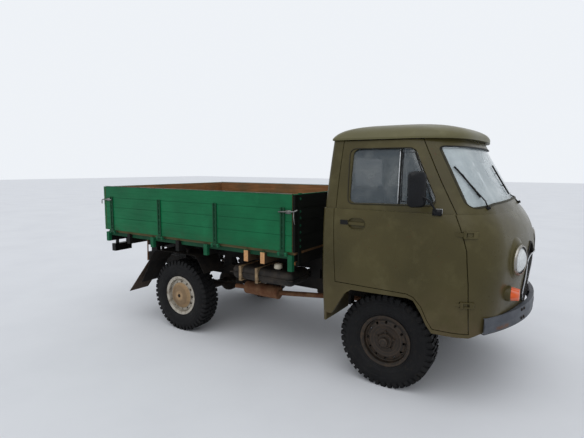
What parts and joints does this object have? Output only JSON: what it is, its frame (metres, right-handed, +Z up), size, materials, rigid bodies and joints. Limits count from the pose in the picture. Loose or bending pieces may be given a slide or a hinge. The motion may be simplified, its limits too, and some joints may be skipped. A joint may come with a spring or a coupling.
{
  "type": "military cargo truck",
  "caption": "Light military cargo truck with a rounded cab over the engine, steering front wheels, opening doors and a drop-side wooden load bed.",
  "frame": {"origin": "on the ground, under the middle of the truck's length", "axes": "+X forward, +Y to the left, +Z up"},
  "size_m": [4.346, 2.182, 2.12],
  "materials": {
    "cab_paint": "matte, rust and scratches",
    "bed_paint": "satin, worn",
    "black_paint": "matte, muddy",
    "bumper_paint": "matte",
    "wheel_cream": "matte, dusty",
    "wheel_rust": "matte, rusty",
    "board_wood": "painted planks",
    "floor_wood": "raw planks",
    "iron": "matte",
    "steel": "worn",
    "rust_steel": "rusty",
    "tyre": "matte",
    "rubber": "matte",
    "glass": "clear",
    "lamp_glass": "fluted",
    "amber": "gloss",
    "red": "gloss",
    "trim_plastic": "matte",
    "seat_cloth": "worn",
    "cap_cream": "matte"
  },
  "bodies": {
    "truck": {"bed_floor": "floor_wood", "bed_frame": "bed_paint", "cab_floor": "cab_paint", "cab_front_panel": "cab_paint", "cab_glass": "glass", "cab_mounts": "rubber", "cab_rear_wall": "cab_paint", "cab_roof": "cab_paint", "cab_side_left": "cab_paint", "cab_side_right": "cab_paint", "chassis_frame": "black_paint", "crossmembers": "black_paint", "dashboard": "trim_plastic", "engine": "iron", "engine_cover": "cab_paint", "exhaust": "rust_steel", "filler_cap": "cap_cream", "front_axle": "iron", "front_bumper": "bumper_paint", "fuel_tank": "black_paint", "gearbox": "iron", "grille": "steel", "headboard": "board_wood", "headlamps": "lamp_glass", "leaf_springs": "iron", "propeller_shafts": "iron", "radiator": "black_paint", "rear_axle": "iron", "rear_mudguards": "black_paint", "seat_frames": "black_paint", "seat_left": "seat_cloth", "seat_right": "seat_cloth", "shock_absorbers": "black_paint", "steering_column": "black_paint", "tail_lamps": "red", "tow_hitch": "iron", "turn_signals": "amber", "window_gaskets": "rubber"},
    "wheel_front_right": {"tyre_front_right": "tyre", "rim_front_right": "wheel_rust"},
    "wheel_front_left": {"tyre_front_left": "tyre", "rim_front_left": "wheel_rust"},
    "wheel_rear_right": {"tyre_rear_right": "tyre", "rim_rear_right": "wheel_cream"},
    "wheel_rear_left": {"tyre_rear_left": "tyre", "rim_rear_left": "wheel_cream"},
    "steer_right": {"knuckle_right": "iron"},
    "steer_left": {"knuckle_left": "iron"},
    "track_bar": {"track_rod": "iron"},
    "hand_wheel": {"steering_wheel": "trim_plastic"},
    "right_door": {"door_right": "cab_paint", "door_glass_right": "glass", "mirror_right": "trim_plastic"},
    "left_door": {"door_left": "cab_paint", "door_glass_left": "glass", "mirror_left": "trim_plastic"},
    "right_board": {"side_board_right": "board_wood"},
    "left_board": {"side_board_left": "board_wood"},
    "tail_board": {"tailboard": "board_wood"}
  },
  "joints": [
    {"name": "steer", "type": "hinge", "parent": "truck", "child": "steer_right", "pos_m": [1.195, -0.592, 0.382], "axis": [0, 0, 1], "range_deg": [-28, 28]},
    {"name": "steer_left_side", "type": "hinge", "parent": "truck", "child": "steer_left", "pos_m": [1.195, 0.592, 0.382], "axis": [0, 0, 1], "range_deg": [-28, 28]},
    {"name": "track_rod_pivot", "type": "hinge", "parent": "steer_right", "child": "track_bar", "pos_m": [1.365, -0.56, 0.249], "axis": [0, 0, 1], "range_deg": [-30, 30]},
    {"name": "hand_wheel_turn", "type": "hinge", "parent": "truck", "child": "hand_wheel", "pos_m": [1.5427, 0.51284, 1.30221], "axis": [-0.4102, 0.0947, 0.9071], "range_deg": [-570, 570]},
    {"name": "wheel_front_right_spin", "type": "hinge", "parent": "steer_right", "child": "wheel_front_right", "pos_m": [1.195, -0.721, 0.382], "axis": [0, 1, 0], "continuous": true},
    {"name": "wheel_front_left_spin", "type": "hinge", "parent": "steer_left", "child": "wheel_front_left", "pos_m": [1.195, 0.721, 0.382], "axis": [0, 1, 0], "continuous": true},
    {"name": "wheel_rear_right_spin", "type": "hinge", "parent": "truck", "child": "wheel_rear_right", "pos_m": [-1.105, -0.721, 0.382], "axis": [0, 1, 0], "continuous": true},
    {"name": "wheel_rear_left_spin", "type": "hinge", "parent": "truck", "child": "wheel_rear_left", "pos_m": [-1.105, 0.721, 0.382], "axis": [0, 1, 0], "continuous": true},
    {"name": "right_door_open", "type": "hinge", "parent": "truck", "child": "right_door", "pos_m": [1.787, -0.952, 1.1], "axis": [0, 0, 1], "range_deg": [0, 70]},
    {"name": "left_door_open", "type": "hinge", "parent": "truck", "child": "left_door", "pos_m": [1.787, 0.952, 1.1], "axis": [0, 0, -1], "range_deg": [0, 70]},
    {"name": "right_board_fold", "type": "hinge", "parent": "truck", "child": "right_board", "pos_m": [-0.8, -0.996, 1.034], "axis": [1, 0, 0], "range_deg": [0, 178]},
    {"name": "left_board_fold", "type": "hinge", "parent": "truck", "child": "left_board", "pos_m": [-0.8, 0.996, 1.034], "axis": [-1, 0, 0], "range_deg": [0, 178]},
    {"name": "tail_board_fold", "type": "hinge", "parent": "truck", "child": "tail_board", "pos_m": [-2.101, 0, 1.034], "axis": [0, -1, 0], "range_deg": [0, 155]}
  ],
  "couplings": [
    {"joint": "steer_left_side", "follows": "steer", "ratio": 1},
    {"joint": "track_rod_pivot", "follows": "steer", "ratio": -1.0545},
    {"joint": "hand_wheel_turn", "follows": "steer", "ratio": 20}
  ]
}
